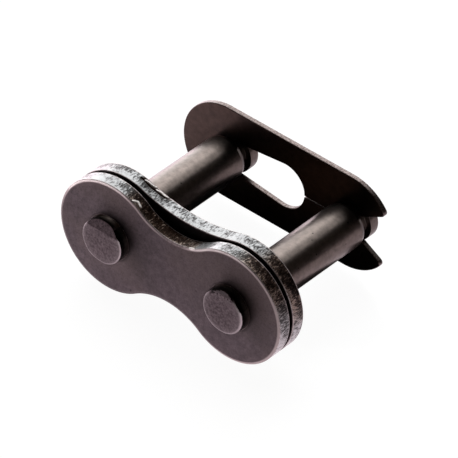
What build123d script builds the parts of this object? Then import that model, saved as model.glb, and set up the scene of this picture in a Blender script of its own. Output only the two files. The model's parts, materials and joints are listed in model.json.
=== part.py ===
from build123d import *
from math import atan2, degrees, radians, sqrt, tan
import os

# Connecting link of a single-strand roller chain with 5/8 inch pitch. A pin link plate
# carries two pressed and staked pins. A loose cover plate slides on the pins, and a spring
# clip snaps into a groove near their far ends to hold it on.
#
# +X runs along the chain, +Y along the pins from their heads to their caps, and +Z across
# the plates. The origin is midway between the pins, at half of the pins' overall length.
# Stations are distances along +Y from the outer face of the pin link plate.

# Driving dimensions, in millimetres and degrees

# Chain
pitch = 15.875
clear_width = 14.95            # between the plates once the cover plate is at the shoulder

# Link plates
plate_thickness = 1.7
lobe_diameter = 13.0           # round ends of both plates
fixed_waist = 7.95             # height of the pin link plate at mid length
cover_waist = 10.4             # height of the cover plate at mid length
die_roll = 0.28                # rounded rim that punching leaves on the outer face
shear_chamfer = 0.2            # tumbled rim of the inner face
bore_chamfer = 0.15            # both ends of the cover plate's bores
rest_gap = 0.4                 # between the plates while no chain is on the pins

# Pins
pin_diameter = 5.08            # where the bushes turn
head_height = 1.2              # what stands out of the pin link plate
head_chamfer = 0.22
seat_growth = 0.02             # the pressed seat is larger in radius than the shaft
press_interference = 0.01      # radial, pin in pin link plate
running_clearance = 0.04       # radial, pin in cover plate
runout_margin = 0.05           # the seat's taper ends this far behind the cover plate
shoulder_taper = 0.4           # length of the lead from the shaft to the cap diameter
groove_width = 1.1
core_diameter = 3.5            # bottom of the groove
cap_diameter = 4.82
cap_length = 1.3
cap_chamfer = 0.25

# Spring clip
clip_thickness = 0.7
clip_width = 11.3
clip_edge_chamfer = 0.08
clip_end_play = 0.03           # between the clip and the groove's outer wall
closed_end_overhang = 0.46     # the closed end's centre lies outside the pin's axis
fork_end_setback = 0.3         # the fork end's centre lies inside the pin's axis
clip_travel = 7.3              # slide that brings the passage over the pin's cap
seat_clearance = 0.06          # radial, groove bottom in both seats of the clip
passage_clearance = 0.24       # radial, cap in the wide end of the middle hole
slit_width = 0.4
throat_width = 2.6
throat_round = 0.25
fork_flare = 29.0              # each side of the mouth leans out by this angle
tip_round = 0.45

# Staking of the two heads: side flats as (angle from +X, depth), then the facet on the
# upper side of the end face as (height above the pin's axis, slope)
left_flats = [(-97, 0.2), (46, 0.16)]
left_facet = (1.4, 20)
right_flats = [(-95, 0.17), (42, 0.13)]
right_facet = (2.05, 32)

# Worked out from those
pin_offset = pitch / 2
lobe_radius = lobe_diameter / 2
shaft_radius = pin_diameter / 2
seat_radius = shaft_radius + seat_growth
core_radius = core_diameter / 2
cap_radius = cap_diameter / 2
cover_station = plate_thickness + rest_gap
shoulder_station = plate_thickness + clear_width + plate_thickness
cap_station = shoulder_station + groove_width
end_station = cap_station + cap_length
pin_length = head_height + end_station
clip_station = cap_station - clip_end_play - clip_thickness


def station(distance):
    """Plane across the pins at a station, with its normal towards the heads."""
    return Plane.XZ.offset(pin_length / 2 - head_height - distance)


def station_y(distance):
    """Y of a station."""
    return distance + head_height - pin_length / 2


def plate_outline(waist_height):
    """Two round lobes about the pins, joined by hollow arcs that are tangent to both."""
    half_waist = waist_height / 2
    hollow_radius = (pin_offset**2 + half_waist**2 - lobe_radius**2) / (
        2 * (lobe_radius - half_waist)
    )
    hollow_height = half_waist + hollow_radius
    turn = degrees(atan2(hollow_height, pin_offset))
    with BuildSketch() as outline:
        with BuildLine():
            CenterArc((pin_offset, 0), lobe_radius, turn - 180, 2 * (180 - turn))
            CenterArc((0, hollow_height), hollow_radius, turn - 180, 180 - 2 * turn)
            CenterArc((-pin_offset, 0), lobe_radius, turn, 2 * (180 - turn))
            CenterArc((0, -hollow_height), hollow_radius, turn, 180 - 2 * turn)
        make_face()
    return outline.sketch


def pin(centre_x, flats, facet):
    """Turned pin about a line along Y at centre_x, with its staked head."""
    runout_station = cover_station + plate_thickness + runout_margin
    head_y = station_y(-head_height)
    outline = [
        (0, -head_height),
        (seat_radius - head_chamfer, -head_height),
        (seat_radius, head_chamfer - head_height),
        (seat_radius, plate_thickness),
        (shaft_radius, runout_station),
        (shaft_radius, shoulder_station - shoulder_taper),
        (cap_radius, shoulder_station),
        (core_radius, shoulder_station),
        (core_radius, cap_station),
        (cap_radius, cap_station),
        (cap_radius, end_station - cap_chamfer),
        (cap_radius - cap_chamfer, end_station),
        (0, end_station),
    ]
    with BuildPart() as turned:
        with BuildSketch(Plane.XY):
            with BuildLine():
                Polyline([(centre_x + radius, station_y(s)) for radius, s in outline], close=True)
            make_face()
        revolve(axis=Axis((centre_x, 0, 0), (0, 1, 0)))
        for angle, depth in flats:
            with BuildSketch(station(0)):
                with Locations(Location((centre_x, 0), angle)):
                    with Locations((seat_radius - depth + seat_radius / 2, 0)):
                        Rectangle(seat_radius, 2 * seat_radius)
            extrude(amount=head_height, mode=Mode.SUBTRACT)
        height, slope = facet
        cutter = Plane(
            origin=(centre_x, head_y, height), x_dir=(1, 0, 0), z_dir=(0, -1, 0)
        ).rotated((-slope, 0, 0))
        with BuildSketch(cutter):
            with Locations((0, seat_radius)):
                Rectangle(2 * seat_radius, 2 * seat_radius)
        extrude(amount=head_height, mode=Mode.SUBTRACT)
    return turned


# Pin link plate, with both pins pressed in
with BuildPart() as fixed_plate:
    with BuildSketch(station(0)):
        add(plate_outline(fixed_waist))
        with Locations((-pin_offset, 0), (pin_offset, 0)):
            Circle(seat_radius - press_interference, mode=Mode.SUBTRACT)
    extrude(amount=-plate_thickness)
    outer_face = fixed_plate.faces().sort_by(Axis.Y)[0]
    fillet(outer_face.outer_wire().edges(), die_roll)
    inner_face = fixed_plate.faces().sort_by(Axis.Y)[-1]
    chamfer(inner_face.outer_wire().edges(), shear_chamfer)
fixed_plate.part.label = "fixed_plate"

left_pin = pin(-pin_offset, left_flats, left_facet)
left_pin.part.label = "left_pin"

right_pin = pin(pin_offset, right_flats, right_facet)
right_pin.part.label = "right_pin"

# Cover plate, free on the pins
with BuildPart() as cover_plate:
    with BuildSketch(station(cover_station)):
        add(plate_outline(cover_waist))
        with Locations((-pin_offset, 0), (pin_offset, 0)):
            Circle(seat_radius + running_clearance, mode=Mode.SUBTRACT)
    extrude(amount=-plate_thickness)
    bore_rims = cover_plate.edges().filter_by(lambda edge: edge.is_closed)
    chamfer(bore_rims, bore_chamfer)
    outer_face = cover_plate.faces().sort_by(Axis.Y)[-1]
    fillet(outer_face.outer_wire().edges(), die_roll)
    inner_face = cover_plate.faces().sort_by(Axis.Y)[0]
    chamfer(inner_face.outer_wire().edges(), shear_chamfer)
cover_plate.part.label = "cover_plate"

# Spring clip. The wide end of its tapered middle hole passes over the left pin's cap. Then
# it slides along the chain, until the narrow end seats in that pin's groove and the fork
# has snapped over the other pin's groove.
clip_seat_radius = core_radius + seat_clearance
closed_end_x = -pin_offset - closed_end_overhang
fork_end_x = pin_offset - fork_end_setback
passage_x = -pin_offset + clip_travel
half_throat = throat_width / 2
throat_x = pin_offset + sqrt(clip_seat_radius**2 - half_throat**2)
mouth_x = fork_end_x + clip_width / 2
half_mouth = half_throat + (mouth_x - throat_x) * tan(radians(fork_flare))
with BuildPart() as spring_clip:
    with BuildSketch(station(clip_station)) as blank:
        with Locations(((closed_end_x + fork_end_x) / 2, 0)):
            SlotCenterToCenter(fork_end_x - closed_end_x, clip_width)
        with Locations((pin_offset, 0)):
            Circle(clip_seat_radius, mode=Mode.SUBTRACT)
        with BuildLine():
            Polyline(
                (pin_offset, half_throat),
                (throat_x, half_throat),
                (mouth_x, half_mouth),
                (mouth_x, -half_mouth),
                (throat_x, -half_throat),
                (pin_offset, -half_throat),
                close=True,
            )
        make_face(mode=Mode.SUBTRACT)
        throat_corners = blank.vertices().sort_by(Axis.X)[-4:-2]
        fillet(throat_corners, throat_round)
        tips = blank.vertices().sort_by(Axis.X)[-2:]
        fillet(tips, tip_round)
    extrude(amount=-clip_thickness)
    with BuildSketch(station(clip_station)):
        with Locations((-pin_offset, 0)):
            Circle(clip_seat_radius)
        with Locations((passage_x, 0)):
            Circle(cap_radius + passage_clearance)
        make_hull()
    extrude(amount=-clip_thickness, mode=Mode.SUBTRACT)
    with BuildSketch(station(clip_station)):
        with Locations(((passage_x + pin_offset) / 2, 0)):
            Rectangle(pin_offset - passage_x, slit_width)
    extrude(amount=-clip_thickness, mode=Mode.SUBTRACT)
    chamfer(spring_clip.faces().filter_by(Axis.Y).edges(), clip_edge_chamfer)
spring_clip.part.label = "spring_clip"

os.makedirs("parts", exist_ok=True)
for piece in (fixed_plate, left_pin, right_pin, cover_plate, spring_clip):
    export_step(piece.part, f"parts/{piece.part.label}.step")
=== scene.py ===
import json
from math import atan2, cos, degrees, hypot, pi, radians, sin, sqrt, tan

import bmesh
import bpy
from bpy.props import FloatProperty, FloatVectorProperty, IntProperty, PointerProperty
from mathutils import Matrix, Vector

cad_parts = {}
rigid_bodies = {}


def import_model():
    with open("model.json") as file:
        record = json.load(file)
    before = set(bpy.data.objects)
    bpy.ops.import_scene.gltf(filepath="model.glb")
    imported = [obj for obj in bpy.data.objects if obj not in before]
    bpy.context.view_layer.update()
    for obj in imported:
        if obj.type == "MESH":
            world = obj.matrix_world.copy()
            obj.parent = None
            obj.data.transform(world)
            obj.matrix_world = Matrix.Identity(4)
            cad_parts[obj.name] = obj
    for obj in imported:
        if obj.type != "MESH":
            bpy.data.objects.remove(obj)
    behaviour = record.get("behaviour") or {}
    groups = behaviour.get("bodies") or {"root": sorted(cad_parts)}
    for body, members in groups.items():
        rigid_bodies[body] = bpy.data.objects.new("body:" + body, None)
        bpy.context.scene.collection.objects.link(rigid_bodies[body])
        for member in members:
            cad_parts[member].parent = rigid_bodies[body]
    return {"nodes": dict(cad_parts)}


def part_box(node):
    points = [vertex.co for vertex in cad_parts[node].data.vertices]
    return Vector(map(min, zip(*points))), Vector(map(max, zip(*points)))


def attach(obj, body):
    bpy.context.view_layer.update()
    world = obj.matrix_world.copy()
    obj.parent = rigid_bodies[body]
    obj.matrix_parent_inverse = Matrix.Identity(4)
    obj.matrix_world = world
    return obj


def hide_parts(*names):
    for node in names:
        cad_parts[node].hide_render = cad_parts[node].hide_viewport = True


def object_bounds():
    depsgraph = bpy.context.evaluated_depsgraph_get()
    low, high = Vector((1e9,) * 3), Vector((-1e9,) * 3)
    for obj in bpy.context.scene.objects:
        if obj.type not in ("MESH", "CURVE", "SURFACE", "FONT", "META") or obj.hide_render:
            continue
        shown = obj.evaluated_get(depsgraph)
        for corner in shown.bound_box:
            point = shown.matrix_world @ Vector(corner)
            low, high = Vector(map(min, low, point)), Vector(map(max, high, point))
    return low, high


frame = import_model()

bl_info = {
    "name": "Chain Connecting Link",
    "version": (1, 0, 0),
    "blender": (4, 5, 0),
    "location": "3D View > Sidebar > Chain Link",
    "description": "Builds a roller chain's connecting link with its plates, pins and clip",
    "category": "Add Mesh",
}

MM = 0.001
CAD_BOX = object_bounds()
NODE_BOX = {name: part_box(name) for name in frame["nodes"]}
HEAD_FACE = NODE_BOX["left_pin"][0].y
FIXED_OUTER = NODE_BOX["fixed_plate"][0].y
COVER_INNER = NODE_BOX["cover_plate"][0].y
CLIP_BACK = NODE_BOX["spring_clip"][1].y

# Pins, in millimetres. Stations are distances from the outer face of the pin link plate
HEAD_HEIGHT = 1.2
SEAT_GROWTH = 0.02
CAP_RADIUS = 2.41
GROOVE_RADIUS = 1.75
RUNOUT_STATION = 3.85
SHOULDER_TAPER = 0.4
SHOULDER_STATION = 18.35
GROOVE_END_STATION = 19.45
PIN_END_STATION = 20.75

# Spring clip, in millimetres
CLIP_HALF_WIDTH = 5.7
CLIP_SEAT_RADIUS = 1.81
PASSAGE_RADIUS = 2.65
HALF_SLIT = 0.05
HALF_THROAT = 1.3
THROAT_ROUND = 0.25
TIP_ROUND = 0.45
CLOSED_END_OVERHANG = 0.46
FORK_END_SETBACK = 0.3
CLIP_TRAVEL = 7.3
FORK_FLARE = radians(29)

# How the punch left the cut edges, by the angle in degrees round each plate: 1 is burnished and
# 0 is torn
FIXED_BURNISH = (
    (-180, 0.7), (-120, 0.3), (-60, 0.6), (-20, 1.0), (-7, 0.9), (4, 0.65), (13, 0.42), (19, 0.0),
    (26, -0.12), (31, 0.1), (37, 0.5), (43, 0.8), (52, 0.78), (56, 0.62), (60, 0.25), (68, 0.35),
    (80, 0.15), (108, 0.12), (128, 0.08), (131, 0.15), (134, 0.42), (137, 0.8), (141, 1.05),
    (157, 1.2), (180, 0.7))
COVER_BURNISH = (
    (-180, 0.6), (-90, 0.4), (-30, 1.0), (-8, 0.9), (0, 0.5), (8, 0.3), (17, -0.15), (25, -0.05),
    (31, 0.45), (38, 0.8), (57, 0.9), (75, 0.8), (100, 0.65), (130, 0.62), (143, 0.66),
    (152, 0.9), (180, 0.6))

# Levels of wear and painted light on the steel: above 1 is newly torn, 1 is bright, 0 is as
# finished and -1 is near black. Levels below 0 are painted shade round the pin heads, between
# the plates, on the lower rims and on the heads' sides and upper rims. The rolled rim's bright
# levels are partly wear and partly painted highlight, and a head rim's bright levels are painted
# highlight. The rolled rim goes by the angle round the plate. A pin's head goes by the angle
# round it, and by how far its surface faces along the pin
ROLL_WEAR_AND_PAINTED_LIGHT = (
    (-180, 0.2), (-160, -0.4), (-90, -0.3), (-60, -0.1), (-38, 1.0), (28, 1.0), (38, 1.12),
    (58, 1.12), (72, 0.1), (100, 0.15), (112, 0.5), (128, 0.8), (136, 1.1), (143, 1.2),
    (165, 1.2), (180, 0.2))
HEAD_PAINTED_LIGHT = (
    (-180, 0.3), (-150, 0.3), (-105, 0.5), (-80, 0.4), (-35, 0.55), (-12, 1.0), (44, 1.0),
    (56, 0.4), (66, -1.0), (125, -1.0), (138, 0.1), (155, 0.5), (180, 0.3))
HEAD_RIM_PAINTED_LIGHT = ((0.0, -1.0), (0.2, -1.0), (0.4, 1.0), (0.8, 1.0), (0.95, 0.4), (1.0, 0.0))

LENGTH = {"min": 0.02 * MM, "max": 80 * MM, "precision": 5, "unit": "LENGTH",
          "subtype": "DISTANCE"}
COLOUR = {"size": 4, "min": 0, "max": 1, "subtype": "COLOR"}


def srgb(text):
    """Linear RGBA of an sRGB hex colour."""
    channels = [int(text[i:i + 2], 16) / 255 for i in (1, 3, 5)]
    return [c / 12.92 if c <= 0.04045 else ((c + 0.055) / 1.055) ** 2.4 for c in channels] + [1.0]


def add_node(tree, kind, inputs=(), stops=(), **settings):
    """Adds a node with its settings, ramp stops and inputs. An input is a name among those in
    use, or a number. Its value is a constant, a socket, or a node for its first output in use."""
    made = tree.nodes.new(kind)
    for name, value in settings.items():
        setattr(made, name, value)
    for key, value in dict(inputs).items():
        if isinstance(key, str):
            socket = next(s for s in made.inputs if s.enabled and s.name == key)
        else:
            socket = made.inputs[key]
        if isinstance(value, bpy.types.Node):
            value = next(s for s in value.outputs if s.enabled)
        if isinstance(value, bpy.types.NodeSocket):
            tree.links.new(value, socket)
        else:
            socket.default_value = value
    for place, colour in stops:
        made.color_ramp.elements.new(place).color = colour
    if stops:
        for spare in (made.color_ramp.elements[-1], made.color_ramp.elements[0]):
            if (spare.position, tuple(spare.color)) in (
                    (0.0, (0.0, 0.0, 0.0, 1.0)), (1.0, (1.0, 1.0, 1.0, 1.0))):
                made.color_ramp.elements.remove(spare)
    return made


# Sizes and colours a user would change


class LinkSizes(bpy.types.PropertyGroup):
    """Sizes of the connecting link"""

    pitch: FloatProperty(
        name="Pitch", description="Distance between the pins", default=15.875 * MM, **LENGTH)
    lobe_diameter: FloatProperty(
        name="Lobe Diameter", description="Round ends of both plates", default=13.0 * MM,
        **LENGTH)
    plate_thickness: FloatProperty(
        name="Plate Thickness", description="Thickness of both plates", default=1.7 * MM,
        **LENGTH)
    fixed_waist: FloatProperty(
        name="Pin Plate Waist", description="Height of the pin link plate at mid length",
        default=7.95 * MM, **LENGTH)
    cover_waist: FloatProperty(
        name="Cover Plate Waist", description="Height of the cover plate at mid length",
        default=10.4 * MM, **LENGTH)
    roll_width: FloatProperty(
        name="Die Roll Width", description="Width of the rim that punching pulls down",
        default=0.28 * MM, **LENGTH)
    roll_depth: FloatProperty(
        name="Die Roll Depth", description="Depth of the rim that punching pulls down",
        default=0.09 * MM, **LENGTH)
    back_rim: FloatProperty(
        name="Back Rim", description="Radius of the tumbled rim on the side that tore",
        default=0.16 * MM, **LENGTH)
    pin_diameter: FloatProperty(
        name="Pin Diameter", description="Diameter where the bushes turn", default=5.08 * MM,
        **LENGTH)
    clip_thickness: FloatProperty(
        name="Clip Thickness", description="Thickness of the spring clip", default=0.6 * MM,
        **LENGTH)
    seed: IntProperty(
        name="Seed", description="Seed of the small unevenness of the cut edges", default=3)


class LinkColours(bpy.types.PropertyGroup):
    """Colours of the connecting link's steels"""

    plate: FloatVectorProperty(
        name="Plates", description="Blackened faces of both plates", default=srgb("#4B4447"),
        **COLOUR)
    pin: FloatVectorProperty(
        name="Pins", description="Ground and oiled pins", default=srgb("#625A56"),
        **COLOUR)
    clip: FloatVectorProperty(
        name="Clip", description="Tempered spring clip", default=srgb("#2F2521"),
        **COLOUR)


# Finishes


def shade(colour, factor):
    """A colour made lighter or darker."""
    return [min(1.0, c * factor) for c in colour[:3]] + [1.0]


def steel(name):
    """New material of bare metal, with its tree, its shader and object coordinates in mm."""
    made = bpy.data.materials.new(name)
    made.use_nodes = True
    tree = made.node_tree
    shader = tree.nodes["Principled BSDF"]
    shader.inputs["Metallic"].default_value = 1.0
    place = add_node(tree, "ShaderNodeTexCoord").outputs["Object"]
    return made, tree, shader, add_node(tree, "ShaderNodeVectorMath", {
        0: place, "Scale": 1 / MM}, operation="SCALE")


def blackened_plate_steel(colour):
    """Carbon steel sheet, blanked, tumbled and black oxided. The faces look matt and lilac grey,
    with painted shade round the pin heads and between the plates. The rims are lightened, partly
    as wear and partly as painted highlight, and the cut edge is burnished in some places and torn
    in others."""
    made, tree, shader, mm = steel("blackened_plate_steel")
    edge, depth, burnish, wear_and_painted_light = (
        add_node(tree, "ShaderNodeAttribute", attribute_name=name).outputs["Fac"]
        for name in ("cut_edge", "cut_depth", "burnish", "wear_and_painted_light"))
    wall = add_node(tree, "ShaderNodeMapRange", {
        "Value": edge, "From Min": 0.6, "From Max": 0.95}, interpolation_type="SMOOTHSTEP")

    # Mottling of the oxide, 0.6 mm across, its grain of 0.2 mm, brown stains 8 mm across,
    # uneven patches of the cut edge 1.7 mm across, and a few dark specks
    mottle, grain, stains, patches = (
        add_node(tree, "ShaderNodeTexNoise", {
            "Vector": mm, "Scale": scale, "Detail": detail, "Roughness": roughness})
        for scale, detail, roughness in (
            (1.6, 6.0, 0.7), (5.0, 4.0, 0.7), (0.12, 3.0, 0.55), (0.6, 2.0, 0.5)))
    cells = add_node(tree, "ShaderNodeTexVoronoi", {"Vector": mm, "Scale": 0.34})
    share = {name: add_node(tree, "ShaderNodeMapRange", {
        "Value": source, "From Min": low, "From Max": high, "To Min": start, "To Max": end})
        for name, source, low, high, start, end in (
            ("stained", stains, 0.42, 0.66, 0.0, 0.6),
            ("thin", grain, 0.38, 0.5, 0.5, 0.0),
            ("speck", cells, 0.035, 0.06, 0.85, 0.0),
            ("painted_shade", wear_and_painted_light, -1.0, 0.0, 0.9, 0.0),
            ("hold", grain, 0.4, 0.56, 0.35, 1.0),
            ("unshaded", wear_and_painted_light, -0.4, 0.0, 0.2, 1.0),
            ("fresh_and_highlight", wear_and_painted_light, 1.02, 1.2, 0.0, 1.0),
            ("uneven", patches, 0.3, 0.7, -0.09, 0.09),
            ("broken", depth, 0.15, 0.55, 0.07, -0.015),
            ("face rough", mottle, 0.3, 0.7, 0.38, 0.5))}

    # Oxide, turned near black by painted shade round the pin heads, between the plates and on the
    # lower rims
    oxide = add_node(tree, "ShaderNodeValToRGB", {"Fac": mottle}, [
        (0.3, shade(colour, 0.58)), (0.5, list(colour)), (0.7, shade(colour, 1.45))])
    for name, tint in (("stained", srgb("#574E4B")), ("thin", shade(colour, 0.5)),
                       ("speck", shade(colour, 0.2)), ("painted_shade", srgb("#100C0B"))):
        oxide = add_node(tree, "ShaderNodeMix", {
            "Factor": share[name], "A": oxide, "B": tint}, data_type="RGBA")

    # Rims lightened towards bright steel, broken up by the grain: the rims' own wear, raised by
    # the rolled rim's levels, which are partly painted highlight
    rim_wear_and_highlight = add_node(tree, "ShaderNodeValToRGB", {"Fac": edge}, [
        (0.0, (0, 0, 0, 1)), (0.025, (0.3, 0.3, 0.3, 1)), (0.2, (1, 1, 1, 1)),
        (0.8, (1, 1, 1, 1)), (0.97, (0, 0, 0, 1))])
    for name in ("hold", "unshaded"):
        rim_wear_and_highlight = add_node(tree, "ShaderNodeMath", {0: rim_wear_and_highlight, 1: share[name]}, operation="MULTIPLY")
    rim_wear_and_highlight = add_node(tree, "ShaderNodeMath", {0: rim_wear_and_highlight, 1: wear_and_painted_light}, operation="MAXIMUM")

    # Cut edge: tears 0.17 mm wide and 0.45 mm long across it, mostly in the far part of the
    # thickness, where the sheet broke instead of being cut
    drawn = add_node(tree, "ShaderNodeVectorMath", {0: mm, 1: (6.0, 2.2, 6.0)},
                     operation="MULTIPLY")
    tears = add_node(tree, "ShaderNodeTexNoise", {
        "Vector": drawn, "Scale": 1.0, "Detail": 4.0, "Roughness": 0.68})
    patch = add_node(tree, "ShaderNodeMapRange", {
        "Value": burnish, "To Min": -0.12, "To Max": 0.09}, clamp=False)
    level = tears
    for shift in (patch, share["uneven"], share["broken"]):
        level = add_node(tree, "ShaderNodeMath", {0: level, 1: shift}, operation="ADD")
    bright = add_node(tree, "ShaderNodeValToRGB", {"Fac": level}, [
        (0.4, srgb("#2B2A2A")), (0.48, srgb("#454545")), (0.54, srgb("#6C6D6E")),
        (0.62, srgb("#7D7E7F"))])
    torn = add_node(tree, "ShaderNodeValToRGB", {"Fac": level}, [
        (0.38, srgb("#150C07")), (0.47, srgb("#33251D")), (0.57, srgb("#82756C"))])
    sheared = add_node(tree, "ShaderNodeMapRange", {
        "Value": burnish, "From Min": 0.25, "From Max": 0.65}, interpolation_type="SMOOTHSTEP")
    cut = add_node(tree, "ShaderNodeMix", {"Factor": sheared, "A": torn, "B": bright},
                   data_type="RGBA")
    # Above level 1 the steel is rough and white: newly torn at the burrs and nicks, and a painted
    # highlight on the upper rolled rims
    base = oxide
    for factor, tint in ((wall, cut), (rim_wear_and_highlight, srgb("#98908F")), (share["fresh_and_highlight"], srgb("#F2EFEC"))):
        base = add_node(tree, "ShaderNodeMix", {
            "Factor": factor, "A": base, "B": tint}, data_type="RGBA")
    tree.links.new(base.outputs[2], shader.inputs["Base Color"])

    cut_rough = add_node(tree, "ShaderNodeMapRange", {
        "Value": level, "From Min": 0.4, "From Max": 0.55, "To Min": 0.42, "To Max": 0.28})
    rough = share["face rough"]
    for factor, other in ((wall, cut_rough), (share["fresh_and_highlight"], 0.75)):
        rough = add_node(tree, "ShaderNodeMix", {"Factor": factor, "A": rough, "B": other})
    tree.links.new(rough.outputs[0], shader.inputs["Roughness"])

    skin = add_node(tree, "ShaderNodeBump", {
        "Height": grain, "Strength": 0.35, "Distance": 0.02 * MM})
    relief = add_node(tree, "ShaderNodeMapRange", {
        "Value": level, "From Min": 0.36, "From Max": 0.56})
    ragged = add_node(tree, "ShaderNodeBump", {
        "Height": relief, "Strength": wall, "Distance": 0.03 * MM, "Normal": skin})
    tree.links.new(ragged.outputs["Normal"], shader.inputs["Normal"])
    return made


def ground_pin_steel(colour):
    """Case-hardened alloy steel. The shaft is ground and oiled, satin with faint rings, stains
    and specks, and the peened head is duller and mottled, with painted highlights on its rim and
    painted shade on its sides."""
    made, tree, shader, mm = steel("ground_pin_steel")
    along = add_node(tree, "ShaderNodeSeparateXYZ", {"Vector": mm}).outputs["Y"]
    wear_and_painted_light = add_node(tree, "ShaderNodeAttribute", attribute_name="wear_and_painted_light").outputs["Fac"]
    cells = add_node(tree, "ShaderNodeTexVoronoi", {"Vector": mm, "Scale": 0.8})
    plate, shoulder = FIXED_OUTER / MM, FIXED_OUTER / MM + SHOULDER_STATION
    head, side, speck, behind = (
        add_node(tree, "ShaderNodeMapRange", {
            "Value": source, "From Min": low, "From Max": high, "To Min": start, "To Max": end})
        for source, low, high, start, end in (
            (along, plate - 0.6, plate - 0.2, 1.0, 0.0), (wear_and_painted_light, -1.0, 0.0, 1.0, 0.0),
            (cells, 0.05, 0.1, 0.8, 0.0), (along, shoulder - 0.55, shoulder + 0.45, 0.0, 1.0)))

    # Stains 0.55 mm across and specks of 0.2 mm. The short taper at the shoulder, where the pin
    # meets the clip, carries painted shade, and the groove and cap are a little darker
    stain = add_node(tree, "ShaderNodeTexNoise", {
        "Vector": mm, "Scale": 1.8, "Detail": 5.0, "Roughness": 0.6})
    taper = add_node(tree, "ShaderNodeValToRGB", {"Fac": behind}, [
        (0.05, (0, 0, 0, 1)), (0.25, (0.6, 0.6, 0.6, 1)), (0.55, (0.6, 0.6, 0.6, 1)),
        (0.7, (0.12, 0.12, 0.12, 1))])
    shaft = add_node(tree, "ShaderNodeValToRGB", {"Fac": stain}, [
        (0.34, shade(colour, 0.8)), (0.5, list(colour)), (0.66, shade(colour, 1.18))])
    for share in (speck, taper):
        shaft = add_node(tree, "ShaderNodeMix", {
            "Factor": share, "A": shaft, "B": srgb("#140F0C")}, data_type="RGBA")

    # Hammer marks of the peening, 0.3 mm across
    marks = add_node(tree, "ShaderNodeTexNoise", {
        "Vector": mm, "Scale": 3.2, "Detail": 5.0, "Roughness": 0.7})
    peened = add_node(tree, "ShaderNodeValToRGB", {"Fac": marks}, [
        (0.34, srgb("#2E2729")), (0.47, srgb("#484043")), (0.62, srgb("#5E5558"))])
    # Painted shade turns the head's sides and its upper rim near black
    peened = add_node(tree, "ShaderNodeMix", {"Factor": side, "A": peened, "B": srgb("#0C0908")},
                      data_type="RGBA")
    # Painted highlight lightens the head's rim, most to the right
    base = shaft
    for share, tint in ((head, peened), (wear_and_painted_light, srgb("#A39C9E"))):
        base = add_node(tree, "ShaderNodeMix", {
            "Factor": share, "A": base, "B": tint}, data_type="RGBA")
    tree.links.new(base.outputs[2], shader.inputs["Base Color"])
    rough = add_node(tree, "ShaderNodeMix", {"Factor": head, "A": 0.31, "B": 0.4})
    tree.links.new(rough.outputs[0], shader.inputs["Roughness"])

    # Grinding rings, drawn 0.15 mm apart, coarser than real, so that they show
    stretched = add_node(tree, "ShaderNodeVectorMath", {0: mm, 1: (0.15, 6.5, 0.15)},
                         operation="MULTIPLY")
    rings = add_node(tree, "ShaderNodeTexNoise", {
        "Vector": stretched, "Scale": 1.0, "Detail": 3.0})
    skin = add_node(tree, "ShaderNodeBump", {
        "Height": rings, "Strength": 0.15, "Distance": 0.01 * MM})
    dents = add_node(tree, "ShaderNodeBump", {
        "Height": stain, "Strength": 0.2, "Distance": 0.05 * MM, "Normal": skin})
    hammered = add_node(tree, "ShaderNodeBump", {
        "Height": marks, "Strength": head, "Distance": 0.045 * MM, "Normal": dents})
    tree.links.new(hammered.outputs["Normal"], shader.inputs["Normal"])
    return made


def tempered_clip_steel(colour):
    """Spring steel strip, blanked and tempered: dark, slightly brown, with a satin face, mottled
    0.9 mm across, and a lighter cut edge with a grain of 0.17 mm."""
    made, tree, shader, mm = steel("tempered_clip_steel")
    edge = add_node(tree, "ShaderNodeAttribute", attribute_name="cut_edge").outputs["Fac"]
    stain = add_node(tree, "ShaderNodeTexNoise", {
        "Vector": mm, "Scale": 1.1, "Detail": 6.0, "Roughness": 0.65})
    face = add_node(tree, "ShaderNodeValToRGB", {"Fac": stain}, [
        (0.32, shade(colour, 0.7)), (0.5, list(colour)), (0.68, shade(colour, 1.3))])
    grain = add_node(tree, "ShaderNodeTexNoise", {
        "Vector": mm, "Scale": 6.0, "Detail": 4.0, "Roughness": 0.6})
    cut = add_node(tree, "ShaderNodeValToRGB", {"Fac": grain}, [
        (0.4, srgb("#433A38")), (0.55, srgb("#6A615F"))])
    side = add_node(tree, "ShaderNodeMapRange", {"Value": edge, "From Min": 0.1, "From Max": 0.5})
    base = add_node(tree, "ShaderNodeMix", {"Factor": side, "A": face, "B": cut},
                    data_type="RGBA")
    tree.links.new(base.outputs[2], shader.inputs["Base Color"])
    shader.inputs["Roughness"].default_value = 0.34
    skin = add_node(tree, "ShaderNodeBump", {
        "Height": grain, "Strength": 0.25, "Distance": 0.02 * MM})
    tree.links.new(skin.outputs["Normal"], shader.inputs["Normal"])
    return made


def light_pool(tree, shift, scale, inner, outer, middle, rest):
    """Painted pool of light: brightness that falls from its middle to the rest of a surface,
    between two distances in metres from a centre that the shift brings to the origin."""
    spot = add_node(tree, "ShaderNodeMapping", {
        "Vector": add_node(tree, "ShaderNodeTexCoord").outputs["Object"],
        "Location": shift, "Scale": scale})
    away = add_node(tree, "ShaderNodeVectorMath", {0: spot}, operation="LENGTH")
    return add_node(tree, "ShaderNodeMapRange", {
        "Value": away, "From Min": inner, "From Max": outer, "To Min": middle, "To Max": rest},
        interpolation_type="SMOOTHSTEP")


# Shapes


def placed(name, data):
    """New object of some data, at the origin of the scene."""
    made = bpy.data.objects.new(name, data)
    bpy.context.scene.collection.objects.link(made)
    return made


def arc(centre, radius, start, sweep, count):
    """Points of an arc, without its last one."""
    return [(centre[0] + radius * cos(start + sweep * i / count),
             centre[1] + radius * sin(start + sweep * i / count)) for i in range(count)]


def arc_steps(radius, sweep, spacing):
    """Number of steps of an arc at a spacing."""
    return max(4, round(abs(radius * sweep) / spacing))


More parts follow.
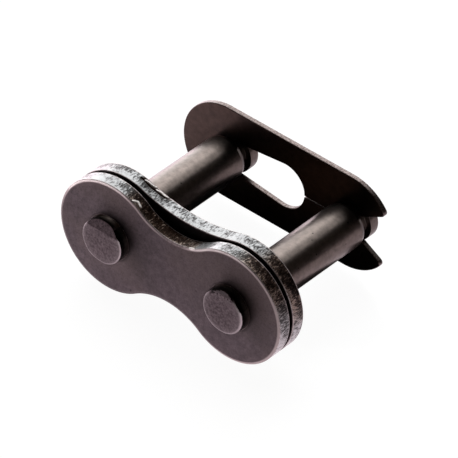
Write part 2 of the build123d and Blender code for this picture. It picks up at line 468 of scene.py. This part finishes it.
def link_plate_loops(pin_offset, lobe_radius, half_waist, bore_radius, spacing):
    """Outer loop of a link plate, two lobes joined by hollows tangent to both, and its bores.
    The outer loop turns to the left and the bores to the right, so material is on the left."""
    hollow_radius = (pin_offset ** 2 + half_waist ** 2 - lobe_radius ** 2) / (
        2 * (lobe_radius - half_waist))
    hollow_height = half_waist + hollow_radius
    turn = atan2(hollow_height, pin_offset)
    lobe_sweep, hollow_sweep = 2 * (pi - turn), pi - 2 * turn
    lobe_steps = arc_steps(lobe_radius, lobe_sweep, spacing)
    hollow_steps = arc_steps(hollow_radius, hollow_sweep, spacing)
    outer = arc((pin_offset, 0), lobe_radius, turn - pi, lobe_sweep, lobe_steps)
    outer += arc((0, hollow_height), hollow_radius, -turn, -hollow_sweep, hollow_steps)
    outer += arc((-pin_offset, 0), lobe_radius, turn, lobe_sweep, lobe_steps)
    outer += arc((0, -hollow_height), hollow_radius, pi - turn, -hollow_sweep, hollow_steps)
    bore_steps = arc_steps(bore_radius, 2 * pi, spacing)
    bores = [arc((x, 0), bore_radius, 0, -2 * pi, bore_steps) for x in (-pin_offset, pin_offset)]
    return [outer] + bores


def even(loop, spacing):
    """The same closed loop with points at an even spacing."""
    lengths = [hypot(b[0] - a[0], b[1] - a[1]) for a, b in zip(loop, loop[1:] + loop[:1])]
    count = round(sum(lengths) / spacing)
    step = sum(lengths) / count
    made, run, i = [], 0.0, 0
    for k in range(count):
        while run + lengths[i] < k * step:
            run += lengths[i]
            i += 1
        t = (k * step - run) / lengths[i] if lengths[i] else 0.0
        a, b = loop[i], loop[(i + 1) % len(loop)]
        made.append((a[0] + (b[0] - a[0]) * t, a[1] + (b[1] - a[1]) * t))
    return made


def eased(loop, passes):
    """The same closed loop with its sharp corners eased."""
    for _ in range(passes):
        loop = [((a[0] + 2 * b[0] + c[0]) / 4, (a[1] + 2 * b[1] + c[1]) / 4)
                for a, b, c in zip(loop[-1:] + loop[:-1], loop, loop[1:] + loop[:1])]
    return loop


def corner_circle(round_centre, reach, start, slope, radius):
    """Centre of a corner's rounding, which lies a radius above the line from start at a slope,
    and at a reach from the centre of the round that it joins."""
    along, above = Vector((cos(slope), sin(slope))), Vector((-sin(slope), cos(slope)))
    from_round = Vector(start) + above * radius - Vector(round_centre)
    half = from_round.dot(along)
    rest = from_round.length_squared - reach ** 2
    run = -half + sqrt(half ** 2 - rest)
    return Vector(round_centre) + from_round + along * run


def spring_clip_loop(pin_x):
    """Loop of the spring clip in metres, from half the distance between the pins in millimetres:
    a slot whose middle hole, slit, seat and flared mouth open into each other, so that a single
    line goes round it."""
    arc_spacing, fine_spacing, spacing, passes = 0.03, 0.04, 0.09, 8
    closed_x, fork_x = -pin_x - CLOSED_END_OVERHANG, pin_x - FORK_END_SETBACK
    passage_x = -pin_x + CLIP_TRAVEL
    throat = (pin_x + sqrt(CLIP_SEAT_RADIUS ** 2 - HALF_THROAT ** 2), HALF_THROAT)

    def bend(centre, radius, start, sweep):
        return arc(centre, radius, start, sweep, arc_steps(radius, sweep, arc_spacing))

    growth = PASSAGE_RADIUS - CLIP_SEAT_RADIUS
    flank = atan2(sqrt((passage_x + pin_x) ** 2 - growth ** 2), -growth)
    slit_in, slit_out = HALF_SLIT / PASSAGE_RADIUS, pi - HALF_SLIT / CLIP_SEAT_RADIUS
    rounding = corner_circle(
        (pin_x, 0), CLIP_SEAT_RADIUS + THROAT_ROUND, throat, FORK_FLARE, THROAT_ROUND)
    leave = atan2(rounding.y, rounding.x - pin_x)
    tip = corner_circle((fork_x, 0), CLIP_HALF_WIDTH - TIP_ROUND, throat, FORK_FLARE, TIP_ROUND)
    meet = atan2(tip.y, tip.x - fork_x)
    half = bend((-pin_x, 0), CLIP_SEAT_RADIUS, pi, flank - pi)
    half += bend((passage_x, 0), PASSAGE_RADIUS, flank, slit_in - flank)
    half += bend((pin_x, 0), CLIP_SEAT_RADIUS, slit_out, leave - slit_out)
    half += bend(rounding, THROAT_ROUND, leave - pi, FORK_FLARE - pi / 2 - leave + pi)
    half += bend(tip, TIP_ROUND, FORK_FLARE - pi / 2, meet - FORK_FLARE + pi / 2)
    half += bend((fork_x, 0), CLIP_HALF_WIDTH, meet, pi / 2 - meet)
    half += bend((closed_x, 0), CLIP_HALF_WIDTH, pi / 2, pi / 2)
    half.append((closed_x - CLIP_HALF_WIDTH, 0))
    loop = half + [(x, -z) for x, z in reversed(half[1:-1])]
    loop = even(eased(even(loop, fine_spacing), passes), spacing)
    return [(x * MM, z * MM) for x, z in loop]


def punched_blank_tree():
    """Geometry Nodes tree that makes a punched plate from the curves of its outline, and the
    identifiers of its inputs. Each loop's rim is swept with a rounded profile, and both faces
    are filled between the rims."""
    tree = bpy.data.node_groups.new("punched_blank", "GeometryNodeTree")
    sockets = {}
    for name, kind in (("Outline", "Geometry"), ("Thickness", "Float"), ("Roll Width", "Float"),
                       ("Roll Depth", "Float"), ("Back Rim", "Float"), ("Bore Rim", "Float"),
                       ("Ripple Depth", "Float"), ("Ripple Width", "Float"), ("Seed", "Int"),
                       ("Finish", "Material")):
        sockets[name] = tree.interface.new_socket(
            name, in_out="INPUT", socket_type="NodeSocket" + kind).identifier
    tree.interface.new_socket("Blank", in_out="OUTPUT", socket_type="NodeSocketGeometry")
    given = add_node(tree, "NodeGroupInput").outputs
    number = add_node(tree, "GeometryNodeInputIndex")
    outward = add_node(tree, "GeometryNodeInputNormal")
    place = add_node(tree, "GeometryNodeInputPosition")

    # Both faces start this far inside the outline, where the widest rim and its rounding end
    round_reach, margin, round_points = 1.6, 0.03 * MM, 8
    rim_spacing, join_distance = 0.055 * MM, 0.002 * MM
    widest = add_node(tree, "ShaderNodeMath", {0: given["Roll Width"], 1: round_reach},
                      operation="MULTIPLY")
    widest = add_node(tree, "ShaderNodeMath", {0: widest, 1: given["Back Rim"]},
                      operation="MAXIMUM")
    inward = add_node(tree, "ShaderNodeMath", {0: -margin, 1: widest}, operation="SUBTRACT")

    # Rim profiles of the outline and of the bores: corner points from the near face over its
    # sloping rim and the wall to the back face, then rounded and evenly spaced
    profiles = []
    for width, fall in ((given["Roll Width"], given["Roll Depth"]),
                        (given["Bore Rim"], given["Bore Rim"])):
        start = add_node(tree, "ShaderNodeMath", {0: width, 1: -1.0}, operation="MULTIPLY")
        corner = add_node(tree, "GeometryNodeIndexSwitch", {"Index": number}, data_type="VECTOR")
        radius = add_node(tree, "GeometryNodeIndexSwitch", {"Index": number}, data_type="FLOAT")
        for i, (x, y, rounding) in enumerate((
                (inward, 0.0, None), (start, 0.0, width), (0.0, fall, fall),
                (0.0, given["Thickness"], given["Back Rim"]),
                (inward, given["Thickness"], None))):
            for switch in (corner, radius):
                if len(switch.index_switch_items) <= i:
                    switch.index_switch_items.new()
            point = add_node(tree, "ShaderNodeCombineXYZ", {"X": x, "Y": y})
            tree.links.new(point.outputs[0], corner.inputs[i + 1])
            if rounding:
                tree.links.new(rounding, radius.inputs[i + 1])
        corners = add_node(tree, "GeometryNodePoints", {"Count": 5, "Position": corner})
        profile = add_node(tree, "GeometryNodePointsToCurves", {"Points": corners})
        profile = add_node(tree, "GeometryNodeFilletCurve", {
            "Curve": profile, "Radius": radius, "Count": round_points}, mode="POLY")
        profiles.append(add_node(tree, "GeometryNodeResampleCurve", {
            "Curve": profile, "Length": rim_spacing}, mode="LENGTH"))

    # Sweep round the outline, which is the first loop, and round the bores
    level = add_node(tree, "GeometryNodeSetCurveNormal", {"Curve": given["Outline"]}, mode="Z_UP")
    bore = add_node(tree, "FunctionNodeCompare", {"A": number, "B": 0}, data_type="INT",
                    operation="GREATER_THAN")
    apart = add_node(tree, "GeometryNodeSeparateGeometry", {
        "Geometry": level, "Selection": bore}, domain="CURVE").outputs
    whole = add_node(tree, "GeometryNodeJoinGeometry")
    for loops, profile in zip((apart["Inverted"], apart["Selection"]), profiles):
        rim = add_node(tree, "GeometryNodeCurveToMesh", {
            "Curve": loops, "Profile Curve": profile})
        tree.links.new(rim.outputs[0], whole.inputs[0])

    # Faces between the rims
    step = add_node(tree, "ShaderNodeVectorMath", {0: outward, "Scale": inward}, operation="SCALE")
    inner = add_node(tree, "GeometryNodeSetPosition", {"Geometry": level, "Offset": step})
    face = add_node(tree, "GeometryNodeFillCurve", {"Curve": inner}, mode="TRIANGLES")
    depth = add_node(tree, "ShaderNodeVectorMath", {
        0: (0, 0, -1), "Scale": given["Thickness"]}, operation="SCALE")
    back = add_node(tree, "GeometryNodeTransform", {"Geometry": face, "Translation": depth})
    back = add_node(tree, "GeometryNodeFlipFaces", {"Mesh": back})
    for part in (face, back):
        tree.links.new(part.outputs[0], whole.inputs[0])
    solid = add_node(tree, "GeometryNodeMergeByDistance", {
        "Geometry": whole, "Distance": join_distance})

    # How far a point belongs to the cut edge: 0 on the faces and 1 on the wall
    lean = add_node(tree, "ShaderNodeSeparateXYZ", {"Vector": outward}).outputs["Z"]
    lean = add_node(tree, "ShaderNodeMath", {0: lean}, operation="ABSOLUTE")
    upright = add_node(tree, "ShaderNodeMath", {0: 1.0, 1: lean}, operation="SUBTRACT")

    # How far through the thickness a point is: 0 at the near face and 1 at the back
    height = add_node(tree, "ShaderNodeSeparateXYZ", {"Vector": place}).outputs["Z"]
    through = add_node(tree, "ShaderNodeMath", {0: height, 1: given["Thickness"]},
                       operation="DIVIDE")
    through = add_node(tree, "ShaderNodeMath", {0: through}, operation="ABSOLUTE")
    marked = solid
    for name, value in (("cut_edge", upright), ("cut_depth", through)):
        marked = add_node(tree, "GeometryNodeStoreNamedAttribute", {
            "Geometry": marked, "Name": name, "Value": value}, data_type="FLOAT", domain="POINT")

    # Small unevenness of the cut wall, always inwards, drawn out along the thickness
    drawn = add_node(tree, "ShaderNodeVectorMath", {0: place, 1: (1, 1, 0.35)},
                     operation="MULTIPLY")
    often = add_node(tree, "ShaderNodeMath", {0: 1.0, 1: given["Ripple Width"]},
                     operation="DIVIDE")
    ripple = add_node(tree, "ShaderNodeTexNoise", {
        "Vector": drawn, "W": given["Seed"], "Scale": often, "Detail": 2.0},
        noise_dimensions="4D")
    sink = ripple
    for factor in (given["Ripple Depth"], upright, -1.0):
        sink = add_node(tree, "ShaderNodeMath", {0: sink, 1: factor}, operation="MULTIPLY")
    sunk = add_node(tree, "ShaderNodeVectorMath", {0: outward, "Scale": sink}, operation="SCALE")
    rippled = add_node(tree, "GeometryNodeSetPosition", {"Geometry": marked, "Offset": sunk})
    smooth = add_node(tree, "GeometryNodeSetShadeSmooth", {"Geometry": rippled})
    real = add_node(tree, "GeometryNodeRealizeInstances", {"Geometry": smooth})
    finished = add_node(tree, "GeometryNodeSetMaterial", {
        "Geometry": real, "Material": given["Finish"]})
    add_node(tree, "NodeGroupOutput", {"Blank": finished})
    return tree, sockets


def punched_blank(name, loops, near_y, finish, sizes):
    """Mesh object of a punched plate across the pins, from the loops of its outline, the Y of
    its face towards the heads and its sizes."""
    tree, sockets = punched_blank_tree()
    outline = bpy.data.curves.new(name + "_outline", "CURVE")
    outline.dimensions = "3D"
    for loop in loops:
        spline = outline.splines.new("POLY")
        spline.points.add(len(loop) - 1)
        for point, (x, y) in zip(spline.points, loop):
            point.co = (x, y, 0, 1)
        spline.use_cyclic_u = True
    carrier = placed(name + "_outline", outline)
    modifier = carrier.modifiers.new("Punched Blank", "NODES")
    modifier.node_group = tree
    for key, value in sizes.items():
        modifier[sockets[key]] = value
    modifier[sockets["Finish"]] = finish
    graph = bpy.context.evaluated_depsgraph_get()
    mesh = bpy.data.meshes.new_from_object(carrier.evaluated_get(graph))
    bpy.data.objects.remove(carrier)
    mesh.name = name
    mesh.transform(Matrix.Translation((0, near_y, 0)) @ Matrix.Rotation(pi / 2, 4, "X"))
    check_closed(name, mesh)
    return placed(name, mesh)


def between(stops, place):
    """Value at a place between stops of (place, value), which rise in place."""
    for (a, low), (b, high) in zip(stops, stops[1:]):
        if a <= place <= b:
            return low + (high - low) * (place - a) / (b - a)
    return stops[-1][1]


def grade(mesh, name, value):
    """Stores a number at each point, worked out from its place in millimetres and its normal."""
    mesh.attributes.new(name, "FLOAT", "POINT").data.foreach_set(
        "value", [value(point.co / MM, point.normal) for point in mesh.vertices])


def scored(mesh, path, width, depth, name, level):
    """Presses a line of a depth into a mesh along a path, or raises it where the depth is
    negative, and brings an attribute to a level there. In millimetres."""
    path = [Vector(point) for point in path]
    longest, spread = 6, 1.6
    marks = mesh.attributes[name].data
    for point in mesh.vertices:
        place = point.co / MM
        if (place - path[0]).length > longest:
            continue
        near = width
        for a, b in zip(path, path[1:]):
            t = max(0.0, min(1.0, (place - a).dot(b - a) / (b - a).length_squared))
            near = min(near, (place - a - (b - a) * t).length)
        if near < width:
            hold = (1 - (near / width) ** 2) ** 2
            point.co = (place - point.normal * depth * hold) * MM
            marks[point.index].value += (level - marks[point.index].value) * min(
                1, spread * hold)


def check_closed(name, mesh):
    """Raises an error if a mesh has an open edge or is inside out."""
    shape = bmesh.new()
    shape.from_mesh(mesh)
    loose = sum(not edge.is_manifold for edge in shape.edges)
    volume = shape.calc_volume(signed=True)
    shape.free()
    if loose or volume <= 0:
        raise RuntimeError(f"{name}: {loose} open edges, volume {volume / MM ** 3:.2f} mm3")


def turned(name, profile, centre_x, segments, shape_point, finish):
    """Mesh object turned about a line along Y, from its profile of (radius, y)."""
    shape = bmesh.new()
    rings = []
    for radius, y in profile:
        if radius < 1e-9:
            rings.append([shape.verts.new(shape_point(Vector((0, y, 0))))])
        else:
            rings.append([shape.verts.new(shape_point(Vector((
                radius * cos(2 * pi * k / segments), y, radius * sin(2 * pi * k / segments)))))
                for k in range(segments)])
    for one, two in zip(rings, rings[1:]):
        for k in range(segments):
            k1 = (k + 1) % segments
            corners = [one[k % len(one)], one[k1 % len(one)],
                       two[k1 % len(two)], two[k % len(two)]]
            shape.faces.new(list(dict.fromkeys(corners)))
    for face in shape.faces:
        face.smooth = True
    bmesh.ops.recalc_face_normals(shape, faces=shape.faces)
    mesh = bpy.data.meshes.new(name)
    shape.to_mesh(mesh)
    shape.free()
    mesh.transform(Matrix.Translation((centre_x, 0, 0)))
    mesh.materials.append(finish)
    check_closed(name, mesh)
    return placed(name, mesh)


def pin_profile(seat, plate, head_round):
    """Profile of a pin as (radius, y) from the head's centre to the cap's centre, with every
    edge rounded, from the radius of its seat, the thickness of the plate that it is pressed into
    and the head's rounding, in millimetres."""
    shaft = seat - SEAT_GROWTH
    straight, face_width, face_steps, round_steps = radians(89.9), 1.0, 28, 6
    corners = [
        (0, -HEAD_HEIGHT, 0), (seat, -HEAD_HEIGHT, head_round), (seat, plate, 0.3),
        (shaft, RUNOUT_STATION, 0.3), (shaft, SHOULDER_STATION - SHOULDER_TAPER, 0.2),
        (CAP_RADIUS, SHOULDER_STATION, 0.03), (GROOVE_RADIUS, SHOULDER_STATION, 0.04),
        (GROOVE_RADIUS, GROOVE_END_STATION, 0.04), (CAP_RADIUS, GROOVE_END_STATION, 0.03),
        (CAP_RADIUS, PIN_END_STATION, 0.3), (0, PIN_END_STATION, 0)]
    profile = []
    for i, (radius, station, rounding) in enumerate(corners):
        here = Vector((radius, station))
        if rounding == 0:
            profile.append((radius, station))
            continue
        back = (Vector(corners[i - 1][:2]) - here).normalized()
        ahead = (Vector(corners[i + 1][:2]) - here).normalized()
        half = back.angle(ahead) / 2
        if half > straight:
            profile.append((radius, station))
            continue
        reach = rounding / tan(half)
        for k in range(round_steps + 1):
            t = k / round_steps
            point = (here + back * reach * (1 - t)) * (1 - t) + (here + ahead * reach * t) * t
            profile.append((point.x, point.y))
    made = [profile[0]]
    for radius, station in profile[1:]:
        last = made[-1]
        steps = face_steps if abs(radius - last[0]) > face_width else 1
        for k in range(1, steps + 1):
            made.append((last[0] + (radius - last[0]) * k / steps,
                         last[1] + (station - last[1]) * k / steps))
    return [(radius * MM, FIXED_OUTER + station * MM) for radius, station in made]


def staked(seat, flats, facet):
    """Function that flattens a pin's head of a radius by side flats (angle, depth) and an upper
    facet (height, slope) of its end face, in millimetres and degrees."""
    height, slope = facet[0], radians(facet[1])

    def shape_point(point):
        x, y, z = point.x / MM, (point.y - HEAD_FACE) / MM, point.z / MM
        if y < HEAD_HEIGHT:
            for angle, depth in flats:
                nx, nz = cos(radians(angle)), sin(radians(angle))
                over = x * nx + z * nz - (seat - depth)
                if over > 0:
                    x, z = x - over * nx, z - over * nz
            over = (z - height) * sin(slope) - y * cos(slope)
            if over > 0:
                y += over * cos(slope)
                z -= over * sin(slope)
        return Vector((x * MM, y * MM + HEAD_FACE, z * MM))

    return shape_point


# Operators


class CHAINLINK_OT_plates(bpy.types.Operator):
    """Builds the pin link plate and the cover plate"""

    bl_idname = "chain_link.plates"
    bl_label = "Link Plates"

    def execute(self, context):
        sizes, colours = context.scene.link_sizes, context.scene.link_colours
        finish = blackened_plate_steel(colours.plate)
        blank = {"Thickness": sizes.plate_thickness, "Roll Width": sizes.roll_width,
                 "Roll Depth": sizes.roll_depth, "Back Rim": sizes.back_rim,
                 "Bore Rim": 0.04 * MM, "Ripple Depth": 0.012 * MM, "Ripple Width": 0.9 * MM,
                 "Seed": sizes.seed}
        offset, lobe, spacing = sizes.pitch / 2, sizes.lobe_diameter / 2, 0.1 * MM
        # The fixed plate's bores are pressed on the pins, and the cover plate's run on them
        tight = sizes.pin_diameter / 2 + 0.012 * MM
        loose = tight + 0.05 * MM
        fixed, cover = (
            punched_blank(name, link_plate_loops(offset, lobe, waist / 2, bore, spacing),
                          near_y, finish, blank | own)
            for name, waist, bore, near_y, own in (
                ("pin_link_plate", sizes.fixed_waist, tight, FIXED_OUTER, {}),
                ("cover_link_plate", sizes.cover_waist, loose, COVER_INNER, {
                    "Roll Width": 0.1 * MM, "Roll Depth": 0.07 * MM, "Seed": sizes.seed + 1})))
        for piece, stops in ((fixed, FIXED_BURNISH), (cover, COVER_BURNISH)):
            grade(piece.data, "burnish", lambda place, normal: between(
                stops, degrees(atan2(place.z, place.x))))

        # The rolled rim is lightened at both ends and darkened underneath, partly as wear and
        # partly as painted highlight and painted shade. Painted shade darkens the face round the
        # pins, further out to the upper right where the heads' shadows fall, and the cover plate's
        # face between the plates
        end_face, wall, rise, blackest = -0.998, -0.5, 25, -0.95
        inner_reach, outer_reach, further, direction = 2.6, 2.85, 1.0, 0.6

        def fixed_wear_and_painted_light(place, normal):
            if normal.y >= wall:
                return 0.0
            if normal.y > end_face:
                return between(ROLL_WEAR_AND_PAINTED_LIGHT, degrees(atan2(place.z, place.x))) * min(
                    1.0, rise * (1 + normal.y))
            x = place.x - (offset if place.x > 0 else -offset) / MM
            reach = outer_reach + further * max(0.0, cos(atan2(place.z, x) - direction))
            return blackest * max(
                0.0, min(1.0, (reach - hypot(x, place.z)) / (reach - inner_reach)))

        grade(fixed.data, "wear_and_painted_light", fixed_wear_and_painted_light)
        grade(cover.data, "wear_and_painted_light", lambda place, normal: -1.0 if normal.y < -0.9 else 0.0)

        # A dark dip with a crack along it and two torn burrs over them on the cover plate, and
        # two nicks on the fixed plate, as (path, width, depth, attribute, level)
        for piece, marks in ((cover, (
                ([(-6.4, -6.28, 6.32), (-5.1, -6.22, 5.92), (-4.8, -6.28, 5.84),
                  (-3.3, -6.2, 5.5)], 0.3, 0.05, "burnish", -1.5),
                ([(-6.81, -6.51, 6.4), (-6.45, -6.5, 6.33), (-5.88, -6.61, 6.17),
                  (-5.31, -6.6, 5.98), (-4.7, -6.56, 5.81), (-4.13, -6.56, 5.67),
                  (-3.65, -6.5, 5.57), (-3.23, -6.07, 5.49)], 0.12, 0.08, "burnish", -1.5),
                ([(-6.34, -6.36, 6.3), (-5.97, -6.26, 6.19), (-5.6, -6.24, 6.08),
                  (-5.1, -6.14, 5.92)], 0.15, -0.07, "wear_and_painted_light", 1.3),
                ([(-4.85, -6.34, 5.85), (-4.32, -6.18, 5.72), (-3.86, -6.24, 5.61),
                  (-3.34, -6.16, 5.51)], 0.15, -0.07, "wear_and_painted_light", 1.3))), (fixed, (
                ([(-5.35, -9.5, 5.97), (-4.98, -9.12, 5.79), (-4.5, -9.26, 5.53)],
                 0.17, -0.12, "wear_and_painted_light", 1.4),
                ([(2.45, -9.7, 4.38), (2.95, -9.72, 4.6)], 0.17, -0.12, "wear_and_painted_light", 1.4)))):
            for mark in marks:
                scored(piece.data, *mark)
        for piece, node, body in ((fixed, "fixed_plate", "link"), (cover, "cover_plate", "cover")):
            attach(piece, body)
            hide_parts(node)
        return {"FINISHED"}


class CHAINLINK_OT_pins(bpy.types.Operator):
    """Builds both pins with their staked heads, grooves and caps"""

    bl_idname = "chain_link.pins"
    bl_label = "Pins"

    def execute(self, context):
        sizes, colours = context.scene.link_sizes, context.scene.link_colours
        finish = ground_pin_steel(colours.pin)
        seat, plate = sizes.pin_diameter / 2 / MM + SEAT_GROWTH, sizes.plate_thickness / MM
        segments, end_face, facet_face, edge_wear, face_radius = 192, 0.985, 0.8, 0.15, 2.4
        for side, sign, head_round, flats, facet, facet_level in (
                ("left", -1, 0.28, [(-97, 0.2), (48, 0.12)], (1.4, 20), -0.4),
                ("right", 1, 0.42, [(-95, 0.17), (42, 0.13)], (2.05, 32), 0.22)):
            centre_x = sign * sizes.pitch / 2
            piece = turned(side + "_link_pin", pin_profile(seat, plate, head_round), centre_x,
                           segments, staked(seat, flats, facet), finish)

            # Painted light on each head: painted highlight on its rim, most to the right, and
            # painted shade on its sides and its upper rim. Its end face is lightened a little
            # towards its edge, and its facet is darkened on the left head and lightened on the
            # right one
            def head_wear_and_painted_light(place, normal):
                tilt, x = abs(normal.y), place.x - centre_x / MM
                if place.y > FIXED_OUTER / MM:
                    return 0.0
                if tilt > end_face:
                    return edge_wear * (hypot(x, place.z) / face_radius) ** 4
                if tilt > facet_face and place.z > facet[0]:
                    return facet_level
                return min(between(HEAD_RIM_PAINTED_LIGHT, tilt),
                           between(HEAD_PAINTED_LIGHT, degrees(atan2(place.z, x))))

            grade(piece.data, "wear_and_painted_light", head_wear_and_painted_light)
            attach(piece, "link")
            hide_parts(side + "_pin")
        return {"FINISHED"}


class CHAINLINK_OT_clip(bpy.types.Operator):
    """Builds the spring clip with its keyhole, slit and fork"""

    bl_idname = "chain_link.clip"
    bl_label = "Spring Clip"

    def execute(self, context):
        sizes, colours = context.scene.link_sizes, context.scene.link_colours
        loop = spring_clip_loop(sizes.pitch / 2 / MM)
        piece = punched_blank(
            "spring_clip_blank", [loop], CLIP_BACK - sizes.clip_thickness,
            tempered_clip_steel(colours.clip),
            {"Thickness": sizes.clip_thickness, "Roll Width": 0.06 * MM, "Roll Depth": 0.08 * MM,
             "Back Rim": 0.08 * MM, "Bore Rim": 0.06 * MM, "Ripple Depth": 0.01 * MM,
             "Ripple Width": 0.8 * MM, "Seed": sizes.seed + 2})
        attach(piece, "clip")
        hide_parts("spring_clip")
        return {"FINISHED"}


class CHAINLINK_OT_stage(bpy.types.Operator):
    """Sets up the floor, the studio light and the camera"""

    bl_idname = "chain_link.stage"
    bl_label = "Stage"

    def execute(self, context):
        scene = context.scene
        side, level = 4.0, CAD_BOX[0].z - 0.02 * MM
        mesh = bpy.data.meshes.new("studio_floor")
        mesh.from_pydata([(-side, -side, level), (side, -side, level),
                          (side, side, level), (-side, side, level)], [], [range(4)])
        placed("studio_floor", mesh)
        paper = bpy.data.materials.new("white_studio_table")
        paper.use_nodes = True
        tree = paper.node_tree
        tree.nodes.clear()
        path = add_node(tree, "ShaderNodeLightPath").outputs
        seen = add_node(tree, "ShaderNodeMath", {
            0: path["Is Camera Ray"], 1: path["Is Transmission Ray"]}, operation="MAXIMUM")
        tone = add_node(tree, "ShaderNodeMix", {
            "Factor": seen, "A": srgb("#FFF0F6"), "B": (0.12, 0.12, 0.12, 1)}, data_type="RGBA")
        plain = add_node(tree, "ShaderNodeBsdfDiffuse", {"Color": tone})

        # In reflections the table glows with a painted pool of light, brightest close in front of
        # the link, and with painted light on its far end, behind and to the left
        near = light_pool(tree, (-0.0014, 0.004, 0), (0.45, 1, 0), 0.006, 0.019, 1.3, 0.2)
        far_end = add_node(tree, "ShaderNodeVectorMath", {
            0: add_node(tree, "ShaderNodeTexCoord").outputs["Object"], 1: (-1.0, 0.15, 0)},
            operation="DOT_PRODUCT")
        lit = add_node(tree, "ShaderNodeMapRange", {
            "Value": far_end, "From Min": 0.012, "From Max": 0.05, "To Min": 0.0, "To Max": 2.4},
            interpolation_type="SMOOTHSTEP")
        gleam = add_node(tree, "ShaderNodeMath", {0: near, 1: lit}, operation="ADD")
        lilac = add_node(tree, "ShaderNodeVectorMath", {
            0: srgb("#FFEEF5")[:3], "Scale": gleam}, operation="SCALE")
        shown = add_node(tree, "ShaderNodeMix", {
            "Factor": path["Is Glossy Ray"], "A": (0, 0, 0, 1), "B": lilac}, data_type="RGBA")
        shown = add_node(tree, "ShaderNodeMix", {
            "Factor": seen, "A": shown, "B": (0.95, 0.95, 0.95, 1)}, data_type="RGBA")
        glow = add_node(tree, "ShaderNodeEmission", {"Color": shown})
        both = add_node(tree, "ShaderNodeAddShader", {0: plain, 1: glow})
        add_node(tree, "ShaderNodeOutputMaterial", {"Surface": both})
        mesh.materials.append(paper)

        # A black card under the link, seen only in reflections, is painted shade standing in for
        # the shadowed table there. Near its front edge it has a painted glow, a little brown
        mesh = bpy.data.meshes.new("painted_shadow_card")
        rise = level + 0.01 * MM
        mesh.from_pydata([(x * MM, y * MM, rise) for x, y in (
            (-15, -7), (8, -7), (17, 1), (17, 5), (2, 14), (-15, 14))], [], [range(6)])
        card = placed("painted_shadow_card", mesh)
        card.visible_camera = False
        card.visible_shadow = False
        shadow_card_finish = bpy.data.materials.new("painted_shadow_surface")
        shadow_card_finish.use_nodes = True
        tree = shadow_card_finish.node_tree
        coat = tree.nodes["Principled BSDF"].inputs
        coat["Base Color"].default_value = srgb("#0A0807")
        coat["Roughness"].default_value = 1.0
        painted_glow = light_pool(tree, (0.0032, 0.0033, 0), (1, 1, 0), 0.0025, 0.0075, 0.3, 0.0)
        coat["Emission Color"].default_value = srgb("#E8BC98")
        tree.links.new(painted_glow.outputs["Result"], coat["Emission Strength"])
        mesh.materials.append(shadow_card_finish)

        world = bpy.data.worlds.new("dark_studio")
        scene.world = world
        world.use_nodes = True
        tree = world.node_tree
        tree.nodes.clear()
        seen = add_node(tree, "ShaderNodeLightPath").outputs["Is Camera Ray"]
        shown = add_node(tree, "ShaderNodeMix", {
            "Factor": seen, "A": srgb("#2E241C"), "B": (1, 1, 1, 1)}, data_type="RGBA")
        sky = add_node(tree, "ShaderNodeBackground", {"Color": shown})
        add_node(tree, "ShaderNodeOutputWorld", {"Surface": sky})

        # Lamps all round at one distance, as (name, azimuth, elevation, width, height, radiance)
        # with angles in degrees
        distance = 0.6
        for name, azimuth, elevation, width, height, radiance in (
                ("back_softbox", 137, 26, 64, 50, 3.6),
                ("top_softbox", 98, 54, 36, 18, 2.0),
                ("back_strip", 105, 5, 80, 12, 1.5),
                ("front_strip", 240, 7, 40, 14, 0.4),
                ("right_strip", -20, 6, 60, 12, 2.2),
                ("rim_softbox", 155, 63, 36, 18, 3.0)):
            softbox = bpy.data.lights.new(name, "AREA")
            softbox.shape = "RECTANGLE"
            softbox.size = 2 * distance * tan(radians(width / 2))
            softbox.size_y = 2 * distance * tan(radians(height / 2))
            softbox.energy = radiance * pi * softbox.size * softbox.size_y
            lamp = placed(name, softbox)
            toward = Vector((cos(radians(azimuth)) * cos(radians(elevation)),
                             sin(radians(azimuth)) * cos(radians(elevation)),
                             sin(radians(elevation))))
            lamp.location = toward * distance
            lamp.rotation_mode = "QUATERNION"
            lamp.rotation_quaternion = toward.to_track_quat("Z", "Y")

        # Camera far off with a long lens, in front of the heads, to the right and above
        lens = bpy.data.cameras.new("camera")
        camera = placed("camera", lens)
        scene.camera = camera
        right = Vector((0.76307, 0.64384, 0.05644))
        up = Vector((-0.43763, 0.45046, 0.77818))
        stand = Matrix.Translation(Vector((315.951, -411.278, 415.624)) * MM)
        camera.matrix_world = stand @ Matrix((right, up, right.cross(up))).transposed().to_4x4()
        lens.sensor_width = 36
        lens.lens = 517.35
        lens.clip_start, lens.clip_end = 0.05, 20
        scene.view_settings.view_transform = "Standard"
        return {"FINISHED"}


class CHAINLINK_PT_panel(bpy.types.Panel):
    """Sizes, colours and pieces of the connecting link"""

    bl_idname = "CHAINLINK_PT_panel"
    bl_label = "Chain Connecting Link"
    bl_space_type = "VIEW_3D"
    bl_region_type = "UI"
    bl_category = "Chain Link"

    def draw(self, context):
        column = self.layout.column()
        for group in (context.scene.link_sizes, context.scene.link_colours):
            for name in group.__annotations__:
                column.prop(group, name)
            column.separator()
        for operator in OPERATORS:
            column.operator(operator.bl_idname)


OPERATORS = (CHAINLINK_OT_plates, CHAINLINK_OT_pins, CHAINLINK_OT_clip, CHAINLINK_OT_stage)
CLASSES = (LinkSizes, LinkColours) + OPERATORS + (CHAINLINK_PT_panel,)


def register():
    for each in CLASSES:
        bpy.utils.register_class(each)
    bpy.types.Scene.link_sizes = PointerProperty(type=LinkSizes)
    bpy.types.Scene.link_colours = PointerProperty(type=LinkColours)


def unregister():
    del bpy.types.Scene.link_sizes
    del bpy.types.Scene.link_colours
    for each in reversed(CLASSES):
        bpy.utils.unregister_class(each)


def main():
    register()
    for spare in list(bpy.data.objects):
        if spare.name in ("Cube", "Light", "Camera"):
            bpy.data.objects.remove(spare)
    bpy.ops.chain_link.plates()
    bpy.ops.chain_link.pins()
    bpy.ops.chain_link.clip()
    bpy.ops.chain_link.stage()


if __name__ == "__main__":
    main()
